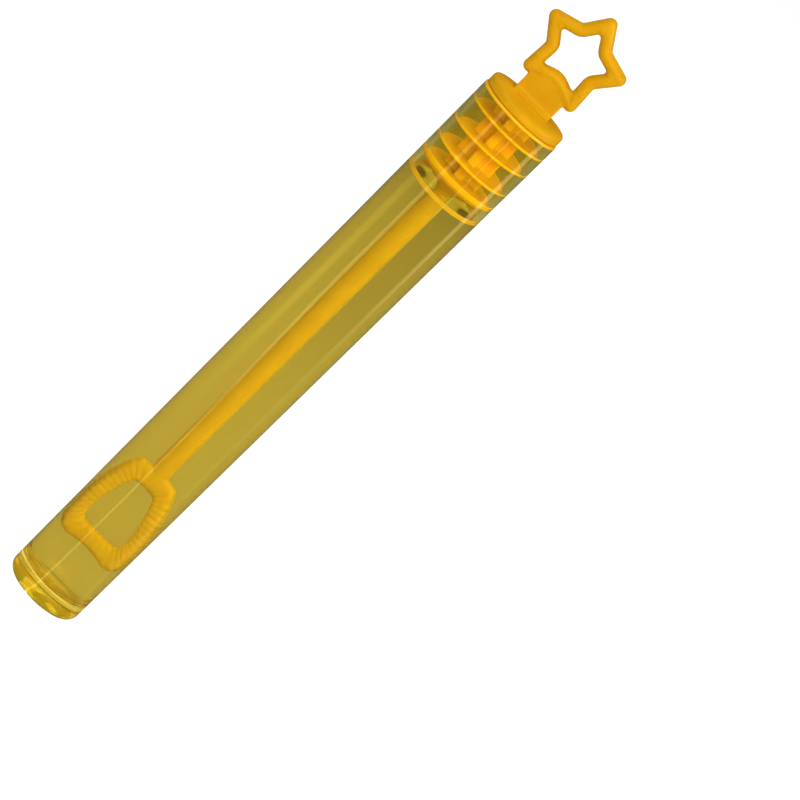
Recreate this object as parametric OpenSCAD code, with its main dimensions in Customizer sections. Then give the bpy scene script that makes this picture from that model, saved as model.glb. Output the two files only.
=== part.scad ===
// A dip-and-blow bubble wand. A clear tapered tube holds the bubble solution. The stopper that
// closes it carries a hollow star to hold above the rim and, on a long stem below, a ridged loop
// that dips into the solution. Z runs up the tube's axis, the foot stands on z = 0 and the star
// and the loop face -Y.

/* [Tube] */
// Height of the tube, from its foot to its rim
tube_length = 95; // [80:1:120]
// Outside diameter at the rim
mouth_d = 13; // [12.4:0.1:16]
// Outside diameter at the foot
base_d = 11.8; // [11.2:0.1:12.4]
// Thickness of the wall
wall = 0.9; // [0.7:0.05:1.1]
// Height of the inner floor above the foot
floor_height = 2.9; // [2.4:0.1:4]
// Rounding between the wall and the inner floor
floor_round = 1.2; // [0.6:0.1:1.6]
// Rounding of the foot's outer edge
foot_round = 1; // [0.5:0.1:1.4]
// Width of the dished hollow under the floor
hollow_d = 7; // [5:0.1:8]
// Depth of the dished hollow
hollow_depth = 1; // [0.4:0.1:1.6]
// Chamfer on the rim's outer and inner edges
rim_chamfer = 0.2; // [0.1:0.05:0.3]

/* [Stopper] */
// How far the flange's edge stands in from the rim's
flange_inset = 0.15; // [0:0.05:0.4]
// Thickness of the flange
flange_height = 1.75; // [1.4:0.05:2.5]
// Rounding of the flange's upper edge
flange_round = 1; // [0.4:0.05:1.1]
// Rounding of the flange's lower edge
flange_under_round = 0.3; // [0.1:0.05:0.3]
// How far the plug reaches below the rim
plug_depth = 13; // [10:0.5:18]
// Number of thin sealing discs above the plug's tip
disc_count = 3; // [2:1:4]
// Thickness of a sealing disc
disc_height = 0.55; // [0.4:0.05:0.8]
// Thickness of the plug's tip
tip_height = 1.2; // [0.9:0.1:1.8]
// Height of the tapered lead-in at the tip's lower edge
lead_height = 0.5; // [0.2:0.1:0.7]
// How far the lead-in narrows
lead_in = 0.4; // [0.1:0.1:0.8]
// Width of the plug's core from side to side
core_w = 6; // [4:0.1:8]
// Width of the plug's core from front to back
core_depth = 6; // [4:0.1:8]
// Thickness of the core's two crossed webs
web = 1.4; // [0.8:0.1:2]
// Radial clearance between the sealing discs and the bore
seal_gap = 0.05; // [0.02:0.01:0.1]

/* [Handle] */
// Height of the star's centre above the rim
star_rise = 10.6; // [10:0.1:14]
// Distance from the star's centre to the middle of its bars at a point
star_point_r = 6.25; // [5.5:0.05:7]
// Distance from the star's centre to the middle of its bars at a notch
star_notch_r = 3.7; // [3.2:0.05:4.2]
// Width of the star's bars
star_bar = 1.85; // [1.2:0.05:2.2]
// Depth of the star's bars from front to back
star_depth = 2.4; // [1.6:0.1:4]
// Width of the neck between the star and the flange
neck_w = 6.4; // [5:0.1:7.2]
// Depth of the neck from front to back
neck_depth = 2; // [1.4:0.1:3]

/* [Dipper] */
// Diameter of the stem at its upper end
stem_d = 2.3; // [1.6:0.1:3.4]
// Diameter of the stem at its lower end
stem_low_d = 2.15; // [1.5:0.05:3]
// Diameter of the flared root under the plug
root_d = 4.4; // [3.6:0.1:6]
// Height of the flared root
root_height = 1.5; // [0.8:0.1:3]
// Height of the loop above the tube's inner floor
loop_rise = 6.5; // [5:0.1:12]
// Height of the loop
loop_height = 15.3; // [13:0.1:20]
// Clearance between the loop's widest place and the bore
loop_gap = 0.6; // [0.5:0.05:0.9]
// Height of the loop's shoulder, where its sides begin to close in
shoulder_height = 7.2; // [6:0.1:9]
// Width of the loop at its top
loop_top_w = 5.6; // [5:0.1:7]
// Width of the loop's hole at its top
hole_top_w = 2.7; // [2:0.1:3.4]
// Width of the loop's side bars
side_bar = 1.7; // [1.2:0.05:1.9]
// Height of the loop's top bar
top_bar = 3; // [2:0.1:3.6]
// Height of the loop's bottom bar
low_bar = 2.8; // [1.8:0.1:3.4]
// Depth of the loop's bars from front to back
loop_depth = 2; // [1.4:0.1:2.6]
// Rounding of the loop's outer corners
loop_corner = 1.5; // [1:0.1:2]
// Rounding of the loop's inner corners
hole_corner = 0.7; // [0.4:0.05:1]
// Spacing of the ridges round the loop
ridge_pitch = 1.2; // [0.9:0.1:2]
// Width of a ridge
ridge_w = 0.6; // [0.4:0.05:0.8]
// How far a ridge stands proud of the bars
ridge_proud = 0.15; // [0.05:0.05:0.25]

/* [Solution] */
// Air left between the plug's tip and the solution
air_gap = 2.7; // [1:0.1:30]
// Gap between the solution and the tube
wet_gap = 0.05; // [0.02:0.01:0.1]
// Room in front of and behind the loop as it is drawn through the solution
way_gap = 1.2; // [1:0.1:1.6]

/* [Hidden] */
$fn = 96;
bead_sides = 32;
overrun = 1;
star_points = 5;
first_bay_share = 0.82;

// Places along the axis
plug_z = tube_length - plug_depth;
tip_top_z = plug_z + tip_height;
flange_top_z = tube_length + flange_height;
star_z = tube_length + star_rise;
root_z = plug_z - root_height;
loop_z = floor_height + loop_rise;
shoulder_z = loop_z + shoulder_height;
loop_top_z = loop_z + loop_height;
loop_root_z = loop_top_z + stem_low_d / 2;
level_z = plug_z - air_gap;
disc_pitch = plug_depth / (disc_count + first_bay_share);

// How much the wall leans out
taper = (mouth_d - base_d) / 2 / tube_length;

// Half widths of the loop's outline and of its hole, at the top and at the bottom
loop_low_half = bore_r(loop_z) - loop_gap - ridge_proud;
loop_top_half = loop_top_w / 2;
hole_low_half = loop_low_half - side_bar;
hole_top_half = hole_top_w / 2;
way_depth = loop_depth + 2 * ridge_proud + 2 * way_gap;

function outer_r(z) = base_d / 2 + taper * z;
function bore_r(z) = outer_r(z) - wall;

// Centres of a bell outline's corner circles, anticlockwise from the lower left
function bell_corners(low_half, top_half, low_z, top_z, r) = [
    [r - low_half, low_z + r], [low_half - r, low_z + r], [low_half - r, shoulder_z],
    [top_half - r, top_z - r], [r - top_half, top_z - r], [r - low_half, shoulder_z]
];
// Outward direction of the side that leaves corner i
function side_angle(c, i) = let (d = c[(i + 1) % len(c)] - c[i]) atan2(d.y, d.x) - 90;
function polar(r, a) = [r * cos(a), r * sin(a)];

// Middle of the star's bars at point or notch i, counted from the top point
function star_place(i) =
    let (r = i % 2 == 0 ? star_point_r : star_notch_r, a = 90 + i * 180 / star_points)
    [r * cos(a), 0, star_z + r * sin(a)];

// The tube's inside up to a height, drawn in by a gap on every side
module cavity(top_z, gap) {
    r = floor_round - gap;
    corner_z = floor_height + floor_round;
    corner_x = bore_r(corner_z) - floor_round;
    polygon([
        [0, floor_height + gap], [corner_x, floor_height + gap], [corner_x + r, corner_z],
        [bore_r(top_z) - gap, top_z], [0, top_z]
    ]);
    translate([corner_x, corner_z]) circle(r);
}

module tube() {
    foot_x = outer_r(foot_round) - foot_round;
    hollow_r = (hollow_d * hollow_d / 4 + hollow_depth * hollow_depth) / 2 / hollow_depth;
    rim_z = tube_length - rim_chamfer;
    color([0.72, 0.63, 0.2, 0.5])
    difference() {
        rotate_extrude() difference() {
            union() {
                polygon([
                    [0, 0], [foot_x, 0], [foot_x + foot_round, foot_round], [outer_r(rim_z), rim_z],
                    [outer_r(tube_length) - rim_chamfer, tube_length], [0, tube_length]
                ]);
                translate([foot_x, foot_round]) circle(foot_round);
            }
            cavity(tube_length + overrun, 0);
            polygon([
                [bore_r(rim_z), rim_z], [bore_r(rim_z) + rim_chamfer + overrun, tube_length + overrun],
                [0, tube_length + overrun], [0, rim_z]
            ]);
        }
        translate([0, 0, hollow_depth - hollow_r]) sphere(hollow_r);
    }
}

// Two columns of solution, one on each side of the plane that the dipper is drawn through
module bubble_solution() {
    color([0.85, 0.8, 0.55, 0.4])
    difference() {
        rotate_extrude() cavity(level_z, wet_gap);
        translate([-mouth_d / 2, -way_depth / 2, 0]) cube([mouth_d, way_depth, tube_length]);
    }
}

module bead(place) {
    translate(place) scale([1, star_depth / star_bar, 1]) sphere(d = star_bar, $fn = bead_sides);
}

// Round-edged bars along a five-pointed star, on a flat neck that fills the lower notch
module star_handle() {
    low_point = star_place(star_points + 1);
    notch = star_place(star_points);
    side_z = low_point.z + (notch.z - low_point.z) * (1 - neck_w / 2 / low_point.x);
    color([0.9, 0.66, 0.1]) {
        for (i = [0 : 2 * star_points - 1]) hull() {
            bead(star_place(i));
            bead(star_place(i + 1));
        }
        rotate([90, 0, 0]) linear_extrude(neck_depth, center = true) polygon([
            [-neck_w / 2, flange_top_z], [neck_w / 2, flange_top_z],
            [neck_w / 2, side_z], [0, notch.z], [-neck_w / 2, side_z]
        ]);
    }
}

module stopper_flange() {
    r = mouth_d / 2 - flange_inset;
    top_x = r - flange_round;
    under_x = r - flange_under_round;
    color([0.93, 0.67, 0.08])
    rotate_extrude() intersection() {
        translate([0, tube_length]) square([r, flange_height]);
        union() {
            polygon([
                [0, tube_length], [under_x, tube_length], [r, tube_length + flange_under_round],
                [r, flange_top_z - flange_round], [top_x, flange_top_z], [0, flange_top_z]
            ]);
            translate([under_x, tube_length + flange_under_round]) circle(flange_under_round);
            translate([top_x, flange_top_z - flange_round]) circle(flange_round);
        }
    }
}

// The core's two crossed webs, from above
module core_outline() {
    square([core_w, web], center = true);
    square([web, core_depth], center = true);
}

module plug_core() {
    color([0.9, 0.6, 0.05])
    translate([0, 0, tip_top_z]) linear_extrude(tube_length - tip_top_z) core_outline();
}

// A disc that fills the tapered bore, up from a height
module bore_disc(z, height) {
    translate([0, 0, z])
    cylinder(height, bore_r(z) - seal_gap, bore_r(z + height) - seal_gap);
}

module seal_discs() {
    color([0.95, 0.72, 0.15])
    for (i = [1 : disc_count]) difference() {
        bore_disc(plug_z + i * disc_pitch, disc_height);
        linear_extrude(tube_length) core_outline();
    }
}

module plug_tip() {
    lead_z = plug_z + lead_height;
    color([0.92, 0.68, 0.12]) {
        bore_disc(lead_z, tip_height - lead_height);
        translate([0, 0, plug_z])
        cylinder(lead_height, bore_r(lead_z) - seal_gap - lead_in, bore_r(lead_z) - seal_gap);
    }
}

module dip_stem() {
    color([0.88, 0.7, 0.08]) {
        translate([0, 0, root_z]) cylinder(root_height, d1 = stem_d, d2 = root_d);
        translate([0, 0, loop_root_z]) cylinder(root_z - loop_root_z, d1 = stem_low_d, d2 = stem_d);
    }
}

// An outline with round corners, straight below the shoulder and closing in above it
module bell(low_half, top_half, low_z, top_z, r) {
    c = bell_corners(low_half, top_half, low_z, top_z, r);
    last = len(c) - 1;
    polygon([
        for (i = [0 : last]) each [
            c[i] + polar(r, side_angle(c, (i + last) % len(c))), c[i] + polar(r, side_angle(c, i))
        ]
    ]);
    for (p = c) translate(p) circle(r);
}

// The loop from the front, grown on every side by a given amount
module loop_outline(grow) {
    difference() {
        bell(loop_low_half + grow, loop_top_half + grow, loop_z - grow, loop_top_z + grow,
            loop_corner + grow);
        bell(hole_low_half - grow, hole_top_half - grow, loop_z + low_bar + grow,
            loop_top_z - top_bar - grow, hole_corner - grow);
    }
}

// Strips across the loop's bars, evenly spaced round the middle of them
module ridge_strips() {
    r = (loop_corner + hole_corner) / 2;
    reach = max(top_bar, low_bar) + 2 * ridge_proud;
    c = bell_corners((loop_low_half + hole_low_half) / 2, (loop_top_half + hole_top_half) / 2,
        loop_z + low_bar / 2, loop_top_z - top_bar / 2, r);
    last = len(c) - 1;
    for (i = [0 : last]) {
        before = side_angle(c, (i + last) % len(c));
        turn = (side_angle(c, i) - before + 360) % 360;
        side = c[(i + 1) % len(c)] - c[i];
        side_ridges = round(norm(side) / ridge_pitch);
        turn_ridges = round(turn * PI / 180 * loop_corner / ridge_pitch);
        for (k = [0.5 : side_ridges])
            translate(c[i] + side * k / side_ridges + polar(r, side_angle(c, i)))
            rotate(side_angle(c, i)) square([reach, ridge_w], center = true);
        for (k = [0.5 : turn_ridges])
            translate(c[i]) rotate(before + turn * k / turn_ridges)
            translate([r, 0]) square([reach, ridge_w], center = true);
    }
}

module bubble_loop() {
    color([0.9, 0.7, 0.08]) {
        rotate([90, 0, 0]) {
            linear_extrude(loop_depth, center = true) loop_outline(0);
            linear_extrude(loop_depth + 2 * ridge_proud, center = true) intersection() {
                loop_outline(ridge_proud);
                ridge_strips();
            }
        }
        translate([0, 0, loop_top_z - top_bar / 2])
        cylinder(loop_root_z - loop_top_z + top_bar / 2, d = stem_low_d);
    }
}

tube();
bubble_solution();
star_handle();
stopper_flange();
plug_core();
seal_discs();
plug_tip();
dip_stem();
bubble_loop();
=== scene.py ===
import math

import bmesh
import bpy
from mathutils import Matrix, Vector


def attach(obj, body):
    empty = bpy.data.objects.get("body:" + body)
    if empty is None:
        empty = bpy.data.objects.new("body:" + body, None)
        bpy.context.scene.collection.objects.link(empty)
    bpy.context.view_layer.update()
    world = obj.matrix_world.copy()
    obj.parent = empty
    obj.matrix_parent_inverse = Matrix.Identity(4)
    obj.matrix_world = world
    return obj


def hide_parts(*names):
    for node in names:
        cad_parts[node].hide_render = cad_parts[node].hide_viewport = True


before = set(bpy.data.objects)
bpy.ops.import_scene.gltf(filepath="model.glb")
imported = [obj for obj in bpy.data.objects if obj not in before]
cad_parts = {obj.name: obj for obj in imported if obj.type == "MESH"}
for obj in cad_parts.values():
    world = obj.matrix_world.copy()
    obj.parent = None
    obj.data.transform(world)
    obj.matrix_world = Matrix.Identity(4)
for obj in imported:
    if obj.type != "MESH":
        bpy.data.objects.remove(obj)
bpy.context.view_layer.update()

# Shapes are drawn in millimetres and scaled to metres when a piece is put in place.
# A hair is a length that counts as none
MM = 0.001
HAIR = 0.001
ROUND_STEPS = 144
ARC_STEP = math.radians(9)
SUPPORT = 0.06
LONGEST_STEP = 6
LATHE_WELD = 0.0005

# The tube
TUBE_TOP = 95.0
MOUTH_R = 6.5
BASE_R = 5.9
WALL = 0.9
FLOOR_Z = 2.9
FLOOR_ROUND = 1.2
FOOT_ROUND = 1.5
HOLLOW_R = 3.5
HOLLOW_DEPTH = 1.0
HOLLOW_STEPS = 12
HOLLOW_EDGE = 0.3
RIM_OUTER_EDGE = 0.28
RIM_INNER_EDGE = 0.2

# The solution, which creeps up the wall and leans a little there. The creep falls off inwards
# from point to point
LEVEL_Z = 79.7
CREEP = 0.85
CREEP_STEP = 0.2
CREEP_FADE = 2
CREEP_POINTS = 24
CREEP_LEAN = 0.5
WET_OVERLAP = 0.05

# The star on its neck. Its points and notches are counted from the top point, 0 to 9
STAR_Z = 105.6
STAR_POINT_R = 6.25
STAR_LOW_POINT_R = 6.4
STAR_LOW_POINTS = (4, 6)
STAR_FULL_POINTS = (0, 2, 8)
STAR_NOTCH_R = 3.7
STAR_BAR = 1.92
STAR_BEND = 0.45
ARCH_POINT = 4
ARCH_BEND = 1.0
BEND_STEPS = 4
STAR_FILL = 1.3
STAR_FILL_BAR = 1.45
STAR_DEPTH = 2.4
BAR_SIDES = 32
BAR_RINGS = 20
NECK_W = 6.4
NECK_DEPTH = 2.0
NECK_FLARE = 0.9
FLARE_SWEEP = math.radians(80)
FLARE_STEPS = 7
NECK_SUNK = 0.5
SKIN_VOXEL = 0.1
SKIN_ROUNDS = 26

# The stopper, from the top down
FLANGE_R = 6.35
FLANGE_SIDE_Z = 95.45
FLANGE_TOP = 96.95
FLANGE_EDGE = 0.35
FLANGE_SQUARE = 6.0
FLANGE_ROUND = 2.5
DOME_STEPS = 24
CORE_HALF = 3.0
WEB = 1.4
CORE_FILLET = 1.2
CORE_EDGE = 0.3
CORE_STEPS = 5
CORE_CREASE = math.radians(50)
DISC_HEIGHT = 0.42
DISC_ZS = (85.403, 88.806, 92.209)
DISC_TILTS = ((2.2, 0.6), (0.8, -2.6), (0.4, 0.2))
DISC_EDGE = 0.12
SEAL_BITE = 0.03
TIP_TOP = 83.2
PLUG_Z = 82.0
LEAD_HEIGHT = 0.5
LEAD_IN = 0.4
LEAD_EDGE = 0.15

# The stem
ROOT_R = 4.4
ROOT_Z = 81.0
ROOT_ROUND = 1.7
ROOT_OVERLAP = 0.05
LEDGE = 0.1
LEDGE_EDGE = 0.3
STEM_TOP_R = 1.15
STEM_LOW_R = 1.075
STEM_LOW_Z = 23.2

# The loop's right half, from the middle of its bottom bar to the middle of its top bar:
# matching places on the outer edge and on the hole's edge, as (x, z)
LOOP_EDGE = [
    (0, 9.95), (1.4, 9.72), (2.5, 9.38), (3.3, 9.42), (4.0, 10.05), (4.36, 11.2), (4.44, 12.6),
    (4.42, 14.6), (4.3, 17.0), (3.93, 19.4), (3.45, 21.6), (3.12, 22.9), (2.78, 23.9),
    (2.25, 24.52), (1.6, 24.78), (0.85, 24.86), (0, 24.88),
]
HOLE_EDGE = [
    (0, 12.6), (0.9, 12.6), (1.6, 12.63), (2.1, 12.76), (2.42, 13.05), (2.58, 13.55),
    (2.63, 14.3), (2.6, 15.2), (2.42, 17.0), (1.98, 19.4), (1.56, 20.9), (1.34, 21.4),
    (1.1, 21.62), (0.85, 21.7), (0.6, 21.73), (0.3, 21.75), (0, 21.75),
]
LOOP_DEPTH = 2.05
LOOP_SWELL = 0.1
LOOP_SIDES = 32
LOOP_SQUARE = 3.6
LOOP_SAMPLES = 4000
LOOP_WELD = 0.002
RIDGE_PITCH = 0.88
RIDGE_STEPS = 9
GROOVE_HALF = 0.14
GROOVE_DEPTH = 0.06
GROOVE_SIDES = 1.5

# From here on lengths are in metres. Yellow plastics: pale colour, deep colour, how far light
# goes into them, and the share of it that does
HANDLE_YELLOW = ((0.68, 0.336, 0.003), (0.63, 0.302, 0.002), 0.0007, 0.25)
# Painted light: the plug, discs and dipper are the handle's one plastic made brighter and
# yellower, to make up for light that the tinted tube keeps from them
PLUG_YELLOW_PAINTED_LIGHT = ((0.88, 0.535, 0.003), (0.84, 0.495, 0.002), 0.0018, 0.7)
DISC_YELLOW_PAINTED_LIGHT = ((0.79, 0.49, 0.003), (0.74, 0.445, 0.002), 0.0016, 0.6)
DIPPER_YELLOW_PAINTED_LIGHT = ((0.675, 0.46, 0.002), (0.635, 0.424, 0.001), 0.0014, 0.5)
SEAM_HALF = (0.00014, 0.00004)
WAVE_HEIGHT = 0.00006

# Heights from where a look starts to where it is full
FOOT_LOOK = (0.0024, 0.0019)
RIM_LOOK = (0.0945, 0.0947)
DRY_PAINT_LOOK = (0.0798, 0.0808)
MENISCUS_LIGHT_LOOK = (0.0798, 0.07996)

# Pairs of colours that a noise mixes
WET_WALL = ((0.765, 0.645, 0.2), (0.8, 0.68, 0.24))
# Painted light and shade: the wall above the liquid gets its own tint for the plug and gaps seen
# through it
DRY_WALL_PAINTED_LIGHT_SHADE = ((0.83, 0.68, 0.12), (0.87, 0.72, 0.15))
# Painted light and shade for the thick foot: bright yellow and dark olive patches
FOOT_PAINTED_LIGHT_SHADE = ((1.0, 0.86, 0.05), (0.16, 0.17, 0.012))
SOAPY_WATER = ((0.97, 0.95, 0.8), (0.99, 0.98, 0.86))
# Painted light at the meniscus, as an opaque yellow band
MENISCUS_PAINTED_LIGHT = ((0.68, 0.4, 0.004), (0.77, 0.47, 0.008))
MENISCUS_LIGHT_COVER = 0.95

# Colours and shares of the light that the tube's plastic carries to its walls, foot and rim
WALL_GLOW = (0.62, 0.55, 0.06)
FOOT_GLOW = (0.97, 0.6, 0.008)
RIM_GLOW = (0.95, 0.47, 0.004)
WALL_SHARE = 0.025
FOOT_SHARE = 0.2
RIM_SHARE = 0.9

# Tints of the lamps' light once it has come through
TUBE_TINT = (1.0, 0.99, 0.9)
SOLUTION_TINT = (1.0, 1.0, 0.98)

# The camera, with its angles in degrees
SENSOR = 36
LENS = 230.65
CAMERA_SPOT = (0, -0.674, 0.2175)
CAMERA_TURN = -1.351
CAMERA_DIP = 13.519
CAMERA_ROLL = 45.49

# Soft lights: degrees to the right of the camera's side, height, distance, width, tallness
# and radiance
FRONT_LIGHT = (8, 0.43, 0.85, 0.55, 0.55, 6.8)
RIGHT_LIGHT = (85, 0.42, 0.66, 0.4, 0.5, 4.8)
BACK_LIGHT = (208, 0.55, 0.8, 0.5, 0.5, 5.2)
TOP_LIGHT = (-70, 0.8, 0.4, 0.5, 0.5, 2.8)
LIGHT_AIM = (0, 0, 0.055)

# The level of light from all round, less in gloss and more through the tube
SKY = 0.13
SKY_GLOSS = 0.09
SKY_THROUGH = 0.45

# The floor: its colours, the level of its own light to the eye, and the most of its other light
FLOOR_HALF = 4
FLOOR_DROP = 0.0002
FLOOR_PALE = (0.72, 0.72, 0.72, 1)
FLOOR_SHADED = (0.22, 0.22, 0.22, 1)
FLOOR_WHITE = 0.9
LIGHT_PEAK = 8.0
STRIPE_SOFTNESS = 0.3

# Painted reflections: strips of light on the floor that show only in gloss, as bearing, half width
# and level, then the distances between which they change and the shares there. The first strip
# changes in bearing and width
STRIP_REACH = (0.06, 0.28)
STRIP_BEARING = (-0.305, -0.572)
STRIP_HALF = (0.042, 0.08)
STRIP_LEVEL = 3.4
MORE_STRIPS = (
    ((0.474, 0.028, 3.2), (0.3, 0.38, 0.12, 1)),
    ((1.686, 0.12, 3.6), (0.16, 0.42, 0.1, 1)),
)
SHINE_TINT = (1, 0.88, 0.6)
SHINE_LEVEL = 0.14

# Shades of the floor that show through the tube: bearing, half width and level. The whole floor's
# level there falls with distance and close under the foot
LIGHT_SHADE = (0.35, 0.06, 0.3)
DARK_SHADE = (-0.29, 0.19, 0.2)
SHADE_REACH = (0.1, 0.28)
BEHIND_FALLS = ((0.16, 0.45, 0.83, 0.56), (0.36, 0.45, 1, 0.64), (0.003, 0.0065, 0.3, 1))


def outer_r(z):
    return BASE_R + (MOUTH_R - BASE_R) * z / TUBE_TOP


def bore_r(z):
    return outer_r(z) - WALL


class Value:
    """A shader socket. Arithmetic on it adds Math nodes."""

    def __init__(self, finish, socket):
        self.finish = finish
        self.socket = socket

    def maths(self, operation, *numbers):
        inputs = dict(enumerate(numbers))
        return self.finish.node("ShaderNodeMath", {"operation": operation}, inputs)

    def __add__(self, other):
        return self.maths("ADD", self, other)

    def __sub__(self, other):
        return self.maths("SUBTRACT", self, other)

    def __rsub__(self, other):
        return self.maths("SUBTRACT", other, self)

    def __mul__(self, other):
        return self.maths("MULTIPLY", self, other)

    def __abs__(self):
        return self.maths("ABSOLUTE", self)

    __radd__ = __add__
    __rmul__ = __mul__


class Finish:
    """A node tree that is written as expressions."""

    def __init__(self, tree):
        self.tree = tree
        tree.nodes.clear()

    def node(self, kind, settings=None, inputs=None, output=0):
        node = self.tree.nodes.new(kind)
        for name, value in (settings or {}).items():
            setattr(node, name, value)
        for name, value in (inputs or {}).items():
            if isinstance(value, Value):
                self.tree.links.new(value.socket, node.inputs[name])
            else:
                node.inputs[name].default_value = value
        return Value(self, node.outputs[output]) if node.outputs else None

    def place(self):
        return self.node("ShaderNodeTexCoord", output="Object")

    def axis(self, name):
        """X, Y or Z of the place, in metres."""
        return self.node("ShaderNodeSeparateXYZ", inputs={0: self.place()}, output=name)

    def ray(self, kind):
        """1 for rays of this kind and 0 for others."""
        return self.node("ShaderNodeLightPath", output=f"Is {kind} Ray")

    def noise(self, scale, detail, stretch=(1, 1, 1)):
        spot = self.node("ShaderNodeMapping", inputs={"Vector": self.place(), "Scale": stretch})
        inputs = {"Vector": spot, "Scale": scale, "Detail": detail}
        return self.node("ShaderNodeTexNoise", inputs=inputs)

    def between(self, value, start, end, low=0, high=1):
        """A smooth step from low to high as value goes from start to end."""
        limits = {
            "Value": value, "From Min": start, "From Max": end, "To Min": low, "To Max": high,
        }
        return self.node("ShaderNodeMapRange", {"interpolation_type": "SMOOTHSTEP"}, limits)

    def mix(self, share, a, b):
        """The colour from a to b by share."""
        a, b = (colour if isinstance(colour, Value) else (*colour, 1) for colour in (a, b))
        inputs = {0: share, 6: a, 7: b}
        return self.node("ShaderNodeMix", {"data_type": "RGBA"}, inputs, output=2)

    def blend(self, share, a, b):
        """The shader from a to b by share."""
        return self.node("ShaderNodeMixShader", inputs={0: share, 1: a, 2: b})

    def show(self, shader, target="ShaderNodeOutputMaterial"):
        self.node(target, inputs={"Surface": shader})


def new_material(name):
    material = bpy.data.materials.new(name)
    material.use_nodes = True
    return material, Finish(material.node_tree)


def yellow_plastic(name, pale, deep, depth, share):
    """Opaque plastic, a little mottled and wavy, with a soft gloss and a mould seam."""
    material, finish = new_material(name)
    cloud = finish.noise(scale=260, detail=3)
    grain = finish.noise(scale=1600, detail=1)
    drift = finish.noise(scale=700, detail=2, stretch=(1, 1, 0.35))
    seam = finish.between(abs(finish.axis("Y")), *SEAM_HALF)
    height = grain * 0.2 + drift + seam * 1.5
    wave = finish.node(
        "ShaderNodeBump",
        inputs={"Strength": 0.25, "Distance": WAVE_HEIGHT, "Height": height},
    )
    shader = finish.node(
        "ShaderNodeBsdfPrincipled",
        {"subsurface_method": "RANDOM_WALK"},
        {
            "Base Color": finish.mix(finish.between(cloud, 0.32, 0.7), deep, pale),
            "Roughness": finish.between(drift, 0.3, 0.7, 0.36, 0.5),
            "IOR": 1.48,
            "Specular IOR Level": 0.3,
            "Specular Tint": (1.0, 0.7, 0.15, 1),
            "Subsurface Weight": share,
            "Subsurface Radius": (1.0, 0.5, 0.05),
            "Subsurface Scale": depth,
            "Normal": wave,
        },
    )
    finish.show(shader)
    return material


def see_through(finish, shader, tint):
    """The shader, with a tinted way through it for the light of lamps."""
    way = finish.node("ShaderNodeBsdfTransparent", inputs={"Color": (*tint, 1)})
    return finish.blend(finish.ray("Shadow"), shader, way)


def clear_plastic():
    """Yellow see-through plastic. Its foot and its rim glow with the light carried to them, and
    its foot has painted patches of light and shade.
    """
    material, finish = new_material("clear_yellow_plastic")
    z = finish.axis("Z")
    foot = finish.between(z, *FOOT_LOOK)
    rim = finish.between(z, *RIM_LOOK)
    dry_wall_paint = finish.between(z, *DRY_PAINT_LOOK)
    streaks = finish.noise(scale=420, detail=2, stretch=(1, 1, 0.08))
    # Painted light and shade: the wall above the liquid takes its own tint
    wall = finish.mix(dry_wall_paint, finish.mix(streaks, *WET_WALL), finish.mix(streaks, *DRY_WALL_PAINTED_LIGHT_SHADE))
    # Painted light and shade in the thick foot: patches of bright yellow and dark olive
    foot_patches = finish.noise(scale=400, detail=1, stretch=(1, 1, 2.5))
    foot_painted_light_shade = finish.mix(finish.between(foot_patches, 0.46, 0.55), *FOOT_PAINTED_LIGHT_SHADE)
    carried = finish.mix(rim, finish.mix(foot, WALL_GLOW, FOOT_GLOW), RIM_GLOW)
    clear = finish.node(
        "ShaderNodeBsdfPrincipled",
        inputs={
            "Base Color": finish.mix(foot, wall, foot_painted_light_shade),
            "Roughness": finish.between(streaks, 0.3, 0.7, 0.015, 0.04),
            "IOR": 1.5,
            "Specular Tint": (1.0, 0.78, 0.3, 1),
            "Transmission Weight": 1.0,
        },
    )
    glow = finish.node(
        "ShaderNodeBsdfPrincipled",
        inputs={
            "Base Color": carried,
            "Roughness": 0.25,
            "Specular Tint": (1.0, 0.8, 0.3, 1),
        },
    )
    body = finish.blend(foot * FOOT_SHARE + rim * RIM_SHARE + WALL_SHARE, clear, glow)
    finish.show(see_through(finish, body, TUBE_TINT))
    return material


def solution_finish():
    """Thin, nearly colourless soapy water, with painted light where it meets the wall: an opaque
    yellow band for the bright ring there.
    """
    material, finish = new_material("soapy_solution")
    z = finish.axis("Z") - finish.axis("Y") * (CREEP_LEAN / bore_r(LEVEL_Z))
    cloud = finish.noise(scale=120, detail=1)
    water = finish.node(
        "ShaderNodeBsdfPrincipled",
        inputs={
            "Base Color": finish.mix(cloud, *SOAPY_WATER),
            "Roughness": 0.0,
            "IOR": 1.33,
            "Transmission Weight": 1.0,
        },
    )
    # Painted light: an opaque yellow band at the wall stands in for the bright meniscus ring
    meniscus_painted_light = finish.node(
        "ShaderNodeBsdfPrincipled",
        inputs={"Base Color": finish.mix(cloud, *MENISCUS_PAINTED_LIGHT), "Roughness": 0.3},
    )
    body = finish.blend(finish.between(z, *MENISCUS_LIGHT_LOOK) * MENISCUS_LIGHT_COVER, water, meniscus_painted_light)
    finish.show(see_through(finish, body, SOLUTION_TINT))
    return material


def put(name, bm, material, body, nodes):
    """Makes a finished piece of a bmesh in millimetres, hangs it on its body, and hides the parts
    that it takes the place of.
    """
    bmesh.ops.scale(bm, vec=(MM, MM, MM), verts=bm.verts)
    mesh = bpy.data.meshes.new(name)
    bm.to_mesh(mesh)
    bm.free()
    piece = bpy.data.objects.new(name, mesh)
    bpy.context.scene.collection.objects.link(piece)
    dress(piece, material)
    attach(piece, body)
    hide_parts(*nodes)
    return piece


def dress(piece, material):
    piece.data.materials.clear()
    piece.data.materials.append(material)
    piece.data.shade_smooth()


def only(kind, geometry):
    """The verts, edges or faces of what an operator gives back."""
    return [part for part in geometry if isinstance(part, kind)]


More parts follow.
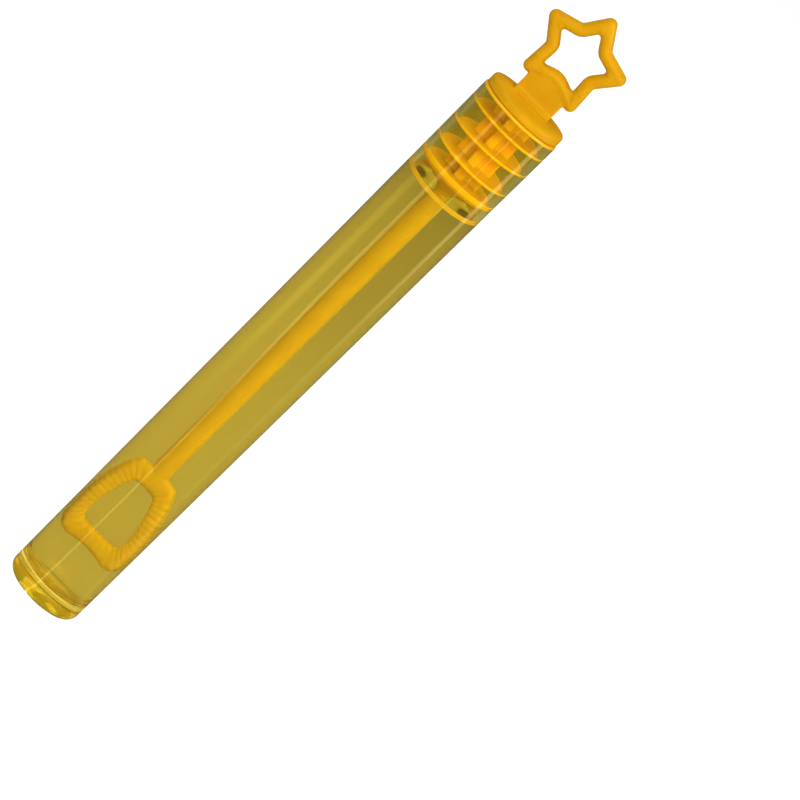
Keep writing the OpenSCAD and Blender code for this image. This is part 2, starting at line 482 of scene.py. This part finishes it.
def rounded(corners):
    """The points of an outline of corners (x, z, radius), with arcs and support points."""
    groups = []
    last = len(corners) - 1
    for i, (x, z, radius) in enumerate(corners):
        here = Vector((x, z))
        if i in (0, last) or radius == 0:
            groups.append([here])
            continue
        back = (Vector(corners[i - 1][:2]) - here).normalized()
        on = (Vector(corners[i + 1][:2]) - here).normalized()
        half = back.angle(on) / 2
        centre = here + (back + on).normalized() * radius / math.sin(half)
        first = here + back * radius / math.tan(half) - centre
        turn = first.angle_signed(here + on * radius / math.tan(half) - centre)
        steps = max(2, math.ceil(abs(turn) / ARC_STEP))
        groups.append([
            centre + Matrix.Rotation(-turn * k / steps, 2) @ first for k in range(steps + 1)
        ])
    line = list(groups[0])
    for group in groups[1:]:
        start, end = line[-1], group[0]
        run = (end - start).length
        if run > 4 * SUPPORT:
            parts = max(1, math.ceil(run / LONGEST_STEP))
            shares = [SUPPORT / run, *(k / parts for k in range(1, parts)), 1 - SUPPORT / run]
            line += [start.lerp(end, share) for share in shares]
        line += group
    return line


def lathe(bm, outline):
    """Turns an outline of (radius, height) points about the axis into a closed shell."""
    verts = [bm.verts.new((x, 0, z)) for x, z in outline]
    edges = [bm.edges.new(pair) for pair in zip(verts, verts[1:])]
    bmesh.ops.spin(
        bm, geom=verts + edges, axis=(0, 0, 1), cent=(0, 0, 0), dvec=(0, 0, 0),
        angle=2 * math.pi, steps=ROUND_STEPS, use_merge=True,
    )
    bmesh.ops.remove_doubles(bm, verts=bm.verts, dist=LATHE_WELD)
    bmesh.ops.recalc_face_normals(bm, faces=bm.faces)


def tube(material):
    """The tapered tube, with a dished hollow under its foot."""
    bm = bmesh.new()
    ball_r = (HOLLOW_R ** 2 + HOLLOW_DEPTH ** 2) / 2 / HOLLOW_DEPTH
    sweep = math.asin(HOLLOW_R / ball_r)
    hollow = []
    for k in range(HOLLOW_STEPS + 1):
        angle = sweep * k / HOLLOW_STEPS
        z = HOLLOW_DEPTH - ball_r * (1 - math.cos(angle))
        hollow.append((ball_r * math.sin(angle), z, HOLLOW_EDGE if k == HOLLOW_STEPS else 0))
    lathe(bm, rounded([
        *hollow, (BASE_R, 0, FOOT_ROUND),
        (MOUTH_R, TUBE_TOP, RIM_OUTER_EDGE), (bore_r(TUBE_TOP), TUBE_TOP, RIM_INNER_EDGE),
        (bore_r(FLOOR_Z), FLOOR_Z, FLOOR_ROUND), (0, FLOOR_Z, 0),
    ]))
    put("tube", bm, material, "tube", ["tube"])


def bubble_solution(material):
    """The liquid, a little into the wall so that no air shows between them."""
    bm = bmesh.new()
    top_z = LEVEL_Z + CREEP
    wall_x = bore_r(top_z) + WET_OVERLAP
    floor_z = FLOOR_Z - WET_OVERLAP
    shore = [
        (wall_x - CREEP_STEP * k, LEVEL_Z + CREEP * math.exp(-k / CREEP_FADE), 0)
        for k in range(1, CREEP_POINTS)
    ]
    lathe(bm, rounded([
        (0, floor_z, 0),
        (bore_r(floor_z) + WET_OVERLAP, floor_z, FLOOR_ROUND + WET_OVERLAP),
        (wall_x, top_z, 0), *shore, (0, LEVEL_Z, 0),
    ]))
    for v in bm.verts:
        if v.co.z > LEVEL_Z - HAIR:
            v.co.z += CREEP_LEAN * v.co.y / wall_x * (v.co.xy.length / wall_x) ** 2
    put("bubble_solution", bm, material, "tube", ["bubble_solution"])


def star_place(i):
    """Middle of the star's bars at point or notch i."""
    r = STAR_LOW_POINT_R if i in STAR_LOW_POINTS else STAR_POINT_R
    if i % 2:
        r = STAR_NOTCH_R
    angle = math.radians(90 + 36 * i)
    return Vector((r * math.cos(angle), 0, STAR_Z + r * math.sin(angle)))


def star_path():
    """Places along the middle of the star's bars, rounded at the notches."""
    path = []
    for i in range(0, 10, 2):
        tip, notch, after = (star_place(i + k) for k in range(3))
        bend = ARCH_BEND if i == ARCH_POINT else STAR_BEND
        into = notch + (tip - notch).normalized() * bend
        out = notch + (after - notch).normalized() * bend
        path.append(tip)
        for k in range(BEND_STEPS + 1):
            share = k / BEND_STEPS
            path.append(into.lerp(notch, share).lerp(notch.lerp(out, share), share))
    return path


def bar(bm, start, end, width):
    """A round-ended bar of oval section from start to end, in the star's plane."""
    made = bmesh.ops.create_uvsphere(
        bm, u_segments=BAR_SIDES, v_segments=BAR_RINGS, radius=width / 2,
    )["verts"]
    upper = [v for v in made if v.co.z > HAIR]
    bmesh.ops.translate(bm, verts=upper, vec=(0, 0, (end - start).length))
    bmesh.ops.scale(bm, verts=made, vec=(1, STAR_DEPTH / width, 1))
    along = (end - start).normalized()
    across = Vector((0, 1, 0)).cross(along)
    turn = Matrix((across, (0, 1, 0), along)).transposed().to_4x4()
    bmesh.ops.transform(bm, matrix=Matrix.Translation(start) @ turn, verts=made)


def neck(bm):
    """The flat neck, flared to front and back where it leaves the flange, and sunk into it."""
    made = bmesh.ops.create_grid(bm, x_segments=1, y_segments=1, size=0.5)["verts"]
    bmesh.ops.scale(bm, vec=(NECK_W, NECK_DEPTH, 1), verts=made)
    bmesh.ops.translate(bm, vec=(0, 0, FLANGE_TOP + NECK_FLARE), verts=made)
    floor = made[0].link_faces[0]
    grown = bmesh.ops.extrude_face_region(bm, geom=[floor])["geom"]
    roof = only(bmesh.types.BMVert, grown)
    tall = STAR_Z - STAR_NOTCH_R - FLANGE_TOP - NECK_FLARE
    bmesh.ops.translate(bm, vec=(0, 0, tall), verts=roof)
    bmesh.ops.reverse_faces(bm, faces=[floor])
    rim = [floor]
    before, passed = 0, 0
    for k in range(1, FLARE_STEPS + 1):
        angle = FLARE_SWEEP * k / FLARE_STEPS
        spread = NECK_FLARE * (1 - math.cos(angle))
        drop = NECK_FLARE * (math.sin(angle) - math.sin(passed))
        grown = bmesh.ops.extrude_face_region(bm, geom=rim)["geom"]
        bmesh.ops.delete(bm, geom=rim, context="FACES_ONLY")
        rim = only(bmesh.types.BMFace, grown)
        verts = rim[0].verts
        deep = (NECK_DEPTH / 2 + spread) / (NECK_DEPTH / 2 + before)
        bmesh.ops.scale(bm, vec=(1, deep, 1), verts=verts)
        bmesh.ops.translate(bm, vec=(0, 0, -drop), verts=verts)
        before, passed = spread, angle
    grown = bmesh.ops.extrude_face_region(bm, geom=rim)["geom"]
    bmesh.ops.delete(bm, geom=rim, context="FACES_ONLY")
    sunk = only(bmesh.types.BMVert, grown)
    bmesh.ops.translate(bm, vec=(0, 0, -NECK_SUNK), verts=sunk)


def mould(piece, material):
    """Runs overlapping shells into one skin and softens their corners."""
    skin = piece.modifiers.new("skin", "REMESH")
    skin.mode = "VOXEL"
    skin.voxel_size = SKIN_VOXEL * MM
    soften = piece.modifiers.new("soften", "SMOOTH")
    soften.factor = 0.5
    soften.iterations = SKIN_ROUNDS
    ready = piece.evaluated_get(bpy.context.evaluated_depsgraph_get())
    mesh = bpy.data.meshes.new_from_object(ready)
    piece.modifiers.clear()
    old, piece.data = piece.data, mesh
    bpy.data.meshes.remove(old)
    mesh.name = piece.name
    dress(piece, material)


def star_handle(material):
    """The hollow star, its bars filled out at the upper points, on its neck."""
    bm = bmesh.new()
    path = star_path()
    for here, there in zip(path, path[1:] + path[:1]):
        bar(bm, here, there, STAR_BAR)
    centre = Vector((0, 0, STAR_Z))
    for i in STAR_FULL_POINTS:
        tip = star_place(i)
        bar(bm, tip, tip + (centre - tip).normalized() * STAR_FILL, STAR_FILL_BAR)
    neck(bm)
    piece = put("star_handle", bm, material, "wand", ["star_handle"])
    mould(piece, material)


def stopper_flange(material):
    """Square at its sides, round in front and behind, with a crease along the mould's seam."""
    bm = bmesh.new()
    rise = FLANGE_TOP - FLANGE_SIDE_Z
    dome = []
    for k in range(DOME_STEPS):
        turn = math.pi / 2 * k / DOME_STEPS
        dome.append((FLANGE_R * math.cos(turn), FLANGE_SIDE_Z + rise * math.sin(turn), 0))
    lathe(bm, rounded([
        (0, TUBE_TOP, 0), (FLANGE_R, TUBE_TOP, FLANGE_EDGE), *dome, (0, FLANGE_TOP, 0),
    ]))
    for v in bm.verts:
        r = v.co.xy.length
        if v.co.z > FLANGE_SIDE_Z + HAIR and r > HAIR:
            power = FLANGE_SQUARE + (FLANGE_ROUND - FLANGE_SQUARE) * abs(v.co.y) / r
            out = (r / FLANGE_R) ** (2 / power - 1)
            up = (v.co.z - FLANGE_SIDE_Z) / rise
            v.co.x *= out
            v.co.y *= out
            v.co.z = FLANGE_SIDE_Z + rise * min(up, 1) ** (2 / power)
    put("stopper_flange", bm, material, "wand", ["stopper_flange"])


def plug_core(material):
    """Two crossed webs, filleted where they meet."""
    bm = bmesh.new()
    made = bmesh.ops.create_grid(bm, x_segments=1, y_segments=1, size=WEB / 2)["verts"]
    bmesh.ops.translate(bm, vec=(0, 0, TIP_TOP), verts=made)
    for edge in list(bm.edges):
        out = (edge.verts[0].co + edge.verts[1].co) / 2
        out.z = 0
        grown = bmesh.ops.extrude_edge_only(bm, edges=[edge])["geom"]
        end = only(bmesh.types.BMVert, grown)
        bmesh.ops.translate(bm, vec=out.normalized() * (CORE_HALF - WEB / 2), verts=end)
    grown = bmesh.ops.extrude_face_region(bm, geom=list(bm.faces), use_keep_orig=True)["geom"]
    roof = only(bmesh.types.BMVert, grown)
    bmesh.ops.translate(bm, vec=(0, 0, TUBE_TOP - TIP_TOP), verts=roof)
    bmesh.ops.recalc_face_normals(bm, faces=bm.faces)
    upright = [e for e in bm.edges if abs(e.verts[0].co.z - e.verts[1].co.z) > 1]
    inner = [e for e in upright if e.verts[0].co.xy.length < WEB]
    outer = [e for e in upright if e not in inner]
    for edges, offset in ((inner, CORE_FILLET), (outer, CORE_EDGE)):
        bmesh.ops.bevel(
            bm, geom=edges, offset=offset, affect="EDGES", segments=CORE_STEPS, profile=0.5,
            material=-1,
        )
    piece = put("plug_core", bm, material, "wand", ["plug_core"])
    piece.data.set_sharp_from_angle(angle=CORE_CREASE)


def seal_discs(material):
    """Three thin discs that lean a little, each with its edge just into the wall."""
    bm = bmesh.new()
    for z, (fore, side) in zip(DISC_ZS, DISC_TILTS):
        disc = bmesh.new()
        top = z + DISC_HEIGHT
        lathe(disc, rounded([
            (0, z, 0), (bore_r(z) + SEAL_BITE, z, DISC_EDGE),
            (bore_r(top) + SEAL_BITE, top, DISC_EDGE), (0, top, 0),
        ]))
        lean = Matrix.Rotation(math.radians(fore), 4, "X")
        lean = lean @ Matrix.Rotation(math.radians(side), 4, "Y")
        middle = Matrix.Translation((0, 0, z))
        bmesh.ops.transform(disc, matrix=middle @ lean @ middle.inverted(), verts=disc.verts)
        mesh = bpy.data.meshes.new("disc")
        disc.to_mesh(mesh)
        disc.free()
        bm.from_mesh(mesh)
        bpy.data.meshes.remove(mesh)
    put("seal_discs", bm, material, "wand", ["seal_discs"])


def plug_tip(material):
    """The thicker lowest disc, with a tapered lead-in."""
    bm = bmesh.new()
    lead_z = PLUG_Z + LEAD_HEIGHT
    lathe(bm, rounded([
        (0, PLUG_Z, 0), (bore_r(lead_z) + SEAL_BITE - LEAD_IN, PLUG_Z, LEAD_EDGE),
        (bore_r(lead_z) + SEAL_BITE, lead_z, DISC_EDGE),
        (bore_r(TIP_TOP) + SEAL_BITE, TIP_TOP, DISC_EDGE), (0, TIP_TOP, 0),
    ]))
    put("plug_tip", bm, material, "wand", ["plug_tip"])


def dip_stem(material):
    """The stem, flared into a shallow cone under the plug."""
    bm = bmesh.new()
    root_top = PLUG_Z + ROOT_OVERLAP
    lathe(bm, rounded([
        (0, STEM_LOW_Z, 0), (STEM_LOW_R, STEM_LOW_Z, 0), (STEM_TOP_R, ROOT_Z, ROOT_ROUND),
        (STEM_TOP_R + ROOT_ROUND + LEDGE, ROOT_Z, LEDGE_EDGE), (ROOT_R, PLUG_Z, 0),
        (ROOT_R, root_top, 0), (0, root_top, 0),
    ]))
    put("dip_stem", bm, material, "wand", ["dip_stem"])


def all_round(half):
    """A closed run of places from its right half."""
    left = [(-x, z) for x, z in reversed(half[1:-1])]
    return [Vector(p) for p in half + left]


def along_curve(places, share):
    """A point of the smooth closed curve through places, share counted in places."""
    i = math.floor(share)
    t = share - i
    a, b, c, d = (places[(i + k) % len(places)] for k in (-1, 0, 1, 2))
    square = a * 2 - b * 5 + c * 4 - d
    cube = b * 3 - a - c * 3 + d
    return (b * 2 + (c - a) * t + square * t ** 2 + cube * t ** 3) / 2


def loop_stations():
    """Places on the edge and the hole's edge, evenly round the loop, and ridges passed by then."""
    edge, hole = all_round(LOOP_EDGE), all_round(HOLE_EDGE)
    shares = [len(edge) * k / LOOP_SAMPLES for k in range(LOOP_SAMPLES)]
    pairs = [(along_curve(edge, share), along_curve(hole, share)) for share in shares]
    middles = [(a + b) / 2 for a, b in pairs]
    steps = [(after - here).length for here, after in zip(middles, middles[1:] + middles[:1])]
    whole = sum(steps)
    ridges = round(whole / RIDGE_PITCH)
    wanted = ridges * RIDGE_STEPS
    stations, run = [], 0
    for (a, b), step in zip(pairs, steps):
        if run >= whole * len(stations) / wanted:
            stations.append((a, b, ridges * run / whole))
        run += step
    return stations


def ring_matrix(a, b, phase):
    """Places a unit ring across the loop's bar, drawn in where there is a groove."""
    off = abs(phase - round(phase)) * RIDGE_PITCH
    groove = GROOVE_DEPTH * math.exp(-((off / GROOVE_HALF) ** 2))
    half = (a - b).length / 2 - groove * GROOVE_SIDES
    depth = LOOP_DEPTH / 2 + LOOP_SWELL - groove
    middle = (a + b) / 2
    out = (a - b).normalized()
    across = Vector((out.x, 0, out.y)) * half
    along = Vector((-out.y, 0, out.x))
    turn = Matrix((across, Vector((0, depth, 0)), along)).transposed().to_4x4()
    return Matrix.Translation((middle.x, 0, middle.y)) @ turn


def bubble_loop(material):
    """The ridged loop, a squarish ring carried round it."""
    bm = bmesh.new()
    matrices = [ring_matrix(*station) for station in loop_stations()]
    ring = bmesh.ops.create_circle(bm, segments=LOOP_SIDES, radius=1)["verts"]
    for v in ring:
        reach = abs(v.co.x) ** LOOP_SQUARE + abs(v.co.y) ** LOOP_SQUARE
        v.co *= 1 / reach ** (1 / LOOP_SQUARE)
    bmesh.ops.transform(bm, matrix=matrices[0], verts=ring)
    edges = list(bm.edges)
    for before, now in zip(matrices, matrices[1:] + matrices[:1]):
        grown = bmesh.ops.extrude_edge_only(bm, edges=edges)["geom"]
        verts = only(bmesh.types.BMVert, grown)
        edges = only(bmesh.types.BMEdge, grown)
        bmesh.ops.transform(bm, matrix=now @ before.inverted(), verts=verts)
    bmesh.ops.remove_doubles(bm, verts=bm.verts, dist=LOOP_WELD)
    bmesh.ops.recalc_face_normals(bm, faces=bm.faces)
    put("bubble_loop", bm, material, "wand", ["bubble_loop"])


def set_camera():
    data = bpy.data.cameras.new("camera")
    data.sensor_width = SENSOR
    data.lens = LENS
    camera = bpy.data.objects.new("camera", data)
    turn = Matrix.Rotation(math.radians(CAMERA_TURN), 4, "Z")
    dip = Matrix.Rotation(math.radians(90 - CAMERA_DIP), 4, "X")
    roll = Matrix.Rotation(math.radians(CAMERA_ROLL), 4, "Z")
    camera.matrix_world = Matrix.Translation(CAMERA_SPOT) @ (turn @ dip) @ roll
    bpy.context.scene.collection.objects.link(camera)
    bpy.context.scene.camera = camera


def soft_light(name, azimuth, height, distance, width, tall, radiance):
    """A flat soft light that faces the wand."""
    data = bpy.data.lights.new(name, "AREA")
    data.shape = "RECTANGLE"
    data.size, data.size_y = width, tall
    data.energy = radiance * math.pi * width * tall
    lamp = bpy.data.objects.new(name, data)
    turn = math.radians(azimuth)
    spot = Vector((distance * math.sin(turn), -distance * math.cos(turn), height))
    facing = (spot - Vector(LIGHT_AIM)).to_track_quat("Z", "Y")
    lamp.matrix_world = Matrix.Translation(spot) @ facing.to_matrix().to_4x4()
    bpy.context.scene.collection.objects.link(lamp)
    return lamp


def set_lights():
    """Four soft lights. The back one shows neither in gloss nor through the tube."""
    soft_light("box_front", *FRONT_LIGHT)
    soft_light("box_right", *RIGHT_LIGHT)
    back = soft_light("box_back", *BACK_LIGHT)
    back.visible_glossy = False
    back.visible_transmission = False
    soft_light("box_top", *TOP_LIGHT)


def set_sky():
    world = bpy.data.worlds.new("studio")
    bpy.context.scene.world = world
    world.use_nodes = True
    air = Finish(world.node_tree)
    level = SKY - air.ray("Glossy") * SKY_GLOSS + air.ray("Transmission") * SKY_THROUGH
    sky = air.node("ShaderNodeBackground", inputs={"Color": (1, 1, 1, 1), "Strength": level})
    air.show(sky, "ShaderNodeOutputWorld")


def set_floor():
    bm = bmesh.new()
    bmesh.ops.create_grid(bm, x_segments=8, y_segments=8, size=FLOOR_HALF)
    bmesh.ops.translate(bm, vec=(0, 0, -FLOOR_DROP), verts=bm.verts)
    mesh = bpy.data.meshes.new("floor")
    bm.to_mesh(mesh)
    bm.free()
    floor = bpy.data.objects.new("floor", mesh)
    bpy.context.scene.collection.objects.link(floor)
    mesh.materials.append(floor_finish())


def floor_finish():
    """A floor that is white to look at. Gloss shows strips on it, and the tube shades of it."""
    material, finish = new_material("floor_white")
    x, y = finish.axis("X"), finish.axis("Y")
    front = x.maths("ARCTAN2", x, y * -1)
    back = x.maths("ARCTAN2", x, y)
    far = finish.node(
        "ShaderNodeVectorMath", {"operation": "LENGTH"}, {0: finish.place()}, output="Value",
    )

    def stripe(bearing, middle, half, level):
        off = abs(bearing - middle)
        start, end = half * (1 + STRIPE_SOFTNESS), half * (1 - STRIPE_SOFTNESS)
        return finish.between(off, start, end, 0, level)

    def light(level, tint):
        """Light of a level that varies, up to LIGHT_PEAK."""
        colour = finish.mix(level * (1 / LIGHT_PEAK), (0, 0, 0), tint)
        return finish.node("ShaderNodeEmission", inputs={"Color": colour, "Strength": LIGHT_PEAK})

    bearing = finish.between(far, *STRIP_REACH, *STRIP_BEARING)
    half = finish.between(far, *STRIP_REACH, *STRIP_HALF)
    strips = stripe(front, bearing, half, STRIP_LEVEL)
    for strip, growth in MORE_STRIPS:
        strips = strips + stripe(front, *strip) * finish.between(far, *growth)
    shades = stripe(back, *LIGHT_SHADE) - stripe(back, *DARK_SHADE)
    level = 1 + shades * finish.between(far, *SHADE_REACH)
    for fall in BEHIND_FALLS:
        level = level * finish.between(far, *fall)

    pale = finish.node("ShaderNodeBsdfDiffuse", inputs={"Color": FLOOR_PALE})
    shaded = finish.node("ShaderNodeBsdfDiffuse", inputs={"Color": FLOOR_SHADED})
    white = finish.node(
        "ShaderNodeEmission", inputs={"Color": (1, 1, 1, 1), "Strength": FLOOR_WHITE},
    )
    seen = finish.node("ShaderNodeAddShader", inputs={0: shaded, 1: white})
    through = finish.ray("Transmission")
    mirrored = finish.ray("Glossy") * (1 - through)
    floor = finish.blend(finish.ray("Camera"), pale, seen)
    floor = finish.blend(through, floor, light(level, (1, 1, 1)))
    finish.show(finish.blend(mirrored, floor, light(strips + SHINE_LEVEL, SHINE_TINT)))
    return material


set_camera()
set_floor()
set_sky()
set_lights()
handle_yellow = yellow_plastic("handle_yellow", *HANDLE_YELLOW)
# Painted light: brighter, yellower copies of the handle's plastic for the parts inside the tube
plug_yellow_painted_light = yellow_plastic("plug_yellow_painted_light", *PLUG_YELLOW_PAINTED_LIGHT)
disc_yellow_painted_light = yellow_plastic("disc_yellow_painted_light", *DISC_YELLOW_PAINTED_LIGHT)
dipper_yellow_painted_light = yellow_plastic("dipper_yellow_painted_light", *DIPPER_YELLOW_PAINTED_LIGHT)
tube(clear_plastic())
bubble_solution(solution_finish())
star_handle(handle_yellow)
stopper_flange(handle_yellow)
plug_core(plug_yellow_painted_light)
seal_discs(disc_yellow_painted_light)
plug_tip(disc_yellow_painted_light)
dip_stem(dipper_yellow_painted_light)
bubble_loop(dipper_yellow_painted_light)

bpy.context.scene.view_settings.view_transform = "Standard"
